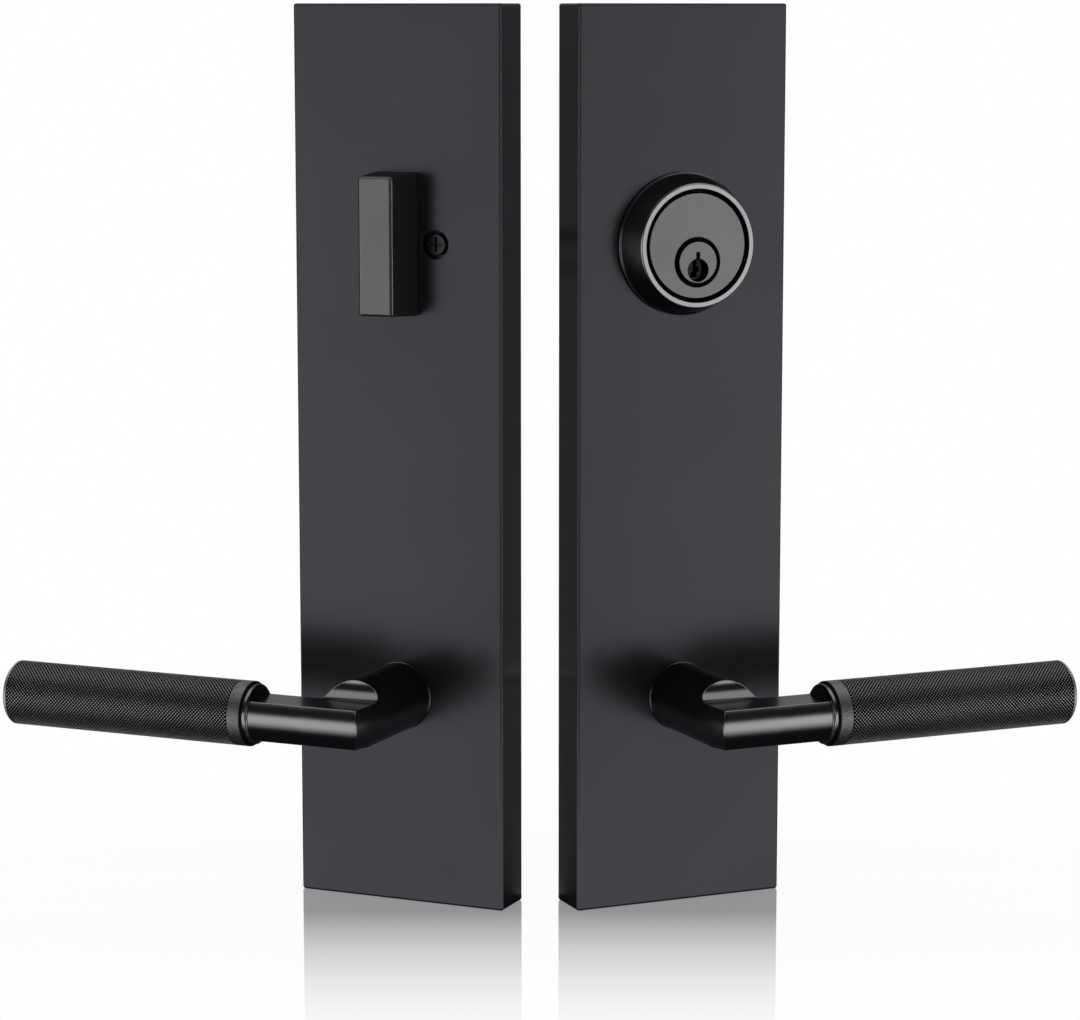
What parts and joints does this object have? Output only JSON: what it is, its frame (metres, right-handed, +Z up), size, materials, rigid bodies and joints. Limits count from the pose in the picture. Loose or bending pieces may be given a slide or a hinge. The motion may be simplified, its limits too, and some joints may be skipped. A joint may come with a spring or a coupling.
{
  "type": "entry door handleset",
  "caption": "Entry door set of tall flat plates with angled knurled levers, a key cylinder with collar outside and a thumb turn inside.",
  "frame": {"origin": "on the ground, below the middle of the whole set's bounding box", "axes": "+Z up along the plates, -Y towards the viewer, -X towards the room side half, +X towards the street side half"},
  "size_m": [0.3346, 0.1066, 0.2794],
  "materials": {
    "plate_black": "fine matte coat",
    "lever_black": "satin coat",
    "grip_black": "satin coat over knurling",
    "turn_black": "satin coat",
    "collar_black": "satin coat, brighter polished rim",
    "cylinder_grey": "satin dark grey face",
    "plug_grey": "satin dark grey face",
    "screw_black": "blackened steel",
    "plain_steel": "plain zinc plated steel",
    "spring_steel": "hardened spring steel",
    "pin_brass": "turned",
    "bearing_plastic": "moulded acetal"
  },
  "bodies": {
    "plates": {"inside_plate": "plate_black", "outside_plate": "plate_black", "inside_backplate": "plain_steel", "through_bolts": "plain_steel", "through_posts": "plain_steel", "inside_lever_ring": "lever_black", "outside_lever_ring": "lever_black", "inside_spring_cassette": "plain_steel", "outside_spring_cassette": "plain_steel", "inside_cassette_screws": "plain_steel", "outside_cassette_screws": "plain_steel", "inside_return_spring": "spring_steel", "outside_return_spring": "spring_steel", "turn_bush": "bearing_plastic", "turn_screws": "screw_black", "cylinder_collar": "collar_black", "cylinder_body": "cylinder_grey", "pin_cover": "pin_brass", "pin_springs": "spring_steel", "driver_pins": "pin_brass"},
    "inside_lever": {"inside_lever_stem": "lever_black", "inside_lever_grip": "grip_black", "inside_grip_screw": "plain_steel", "inside_lever_clip": "spring_steel", "inside_drive_hub": "plain_steel"},
    "outside_lever": {"outside_lever_stem": "lever_black", "outside_lever_grip": "grip_black", "outside_grip_screw": "plain_steel", "outside_lever_clip": "spring_steel", "outside_drive_hub": "plain_steel", "outside_spindle": "plain_steel"},
    "thumb_turn": {"thumb_turn": "turn_black", "turn_clip": "spring_steel"},
    "key_plug": {"cylinder_plug": "plug_grey", "key_pins": "pin_brass", "plug_clip": "spring_steel", "tailpiece": "plain_steel"}
  },
  "joints": [
    {"name": "inside_lever_turn", "type": "hinge", "parent": "plates", "child": "inside_lever", "pos_m": [-0.04375, -0.00334, 0.0657], "axis": [-0.3939, -0.9191, 0], "range_deg": [-45, 45], "stiffness_Nm_per_rad": 2, "springref_deg": -4.1, "deforming": ["inside_return_spring"]},
    {"name": "outside_lever_turn", "type": "hinge", "parent": "plates", "child": "outside_lever", "pos_m": [0.04375, -0.00334, 0.0657], "axis": [-0.3939, 0.9191, 0], "range_deg": [-45, 45], "stiffness_Nm_per_rad": 2, "springref_deg": -4.1, "deforming": ["outside_return_spring"]},
    {"name": "thumb_turn_spin", "type": "hinge", "parent": "plates", "child": "thumb_turn", "pos_m": [-0.04375, -0.00334, 0.2067], "axis": [0.3939, 0.9191, 0], "range_deg": [0, 90]},
    {"name": "key_plug_spin", "type": "hinge", "parent": "plates", "child": "key_plug", "pos_m": [0.04375, -0.00334, 0.2017], "axis": [-0.3939, 0.9191, 0], "range_deg": [-90, 90]}
  ]
}
